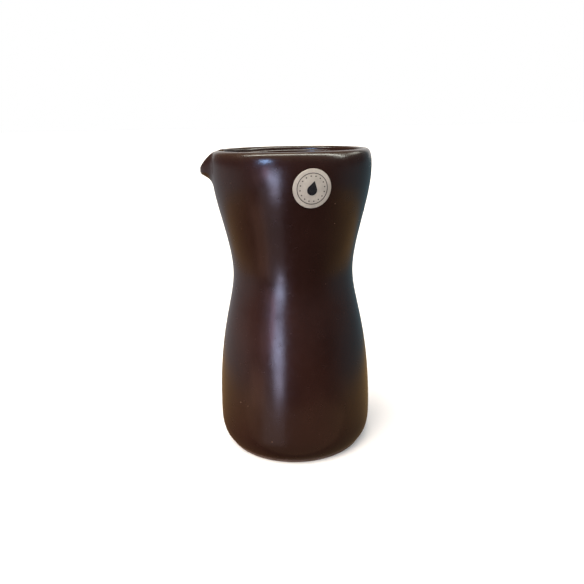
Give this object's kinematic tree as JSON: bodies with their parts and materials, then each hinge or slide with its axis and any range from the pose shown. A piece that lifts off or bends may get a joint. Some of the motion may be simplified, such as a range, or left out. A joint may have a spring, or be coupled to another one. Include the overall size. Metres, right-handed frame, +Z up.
{
  "type": "sake bottle",
  "caption": "Waisted brown-glazed stoneware sake carafe with a pinched pouring lip, a bare clay foot ring and a round paper label.",
  "frame": {"origin": "on the vessel's axis, in the plane of the foot ring that it stands on", "axes": "+Z up along the vessel's axis, -X towards the pouring lip, -Y the side with the label"},
  "size_m": [0.0955, 0.0902, 0.17],
  "materials": {
    "bare_stoneware": "matte",
    "outer_glaze": "satin",
    "inner_glaze": "satin",
    "label_glue": "satin",
    "label_stock": "matte",
    "brown_ink": "matte",
    "black_ink": "matte"
  },
  "bodies": {
    "root": {"clay_body": "bare_stoneware", "glaze_coat": "outer_glaze", "liner_glaze": "inner_glaze", "label_adhesive": "label_glue", "label_paper": "label_stock", "label_ring_print": "brown_ink", "label_dot_print": "brown_ink", "label_drop_print": "black_ink"}
  },
  "joints": []
}
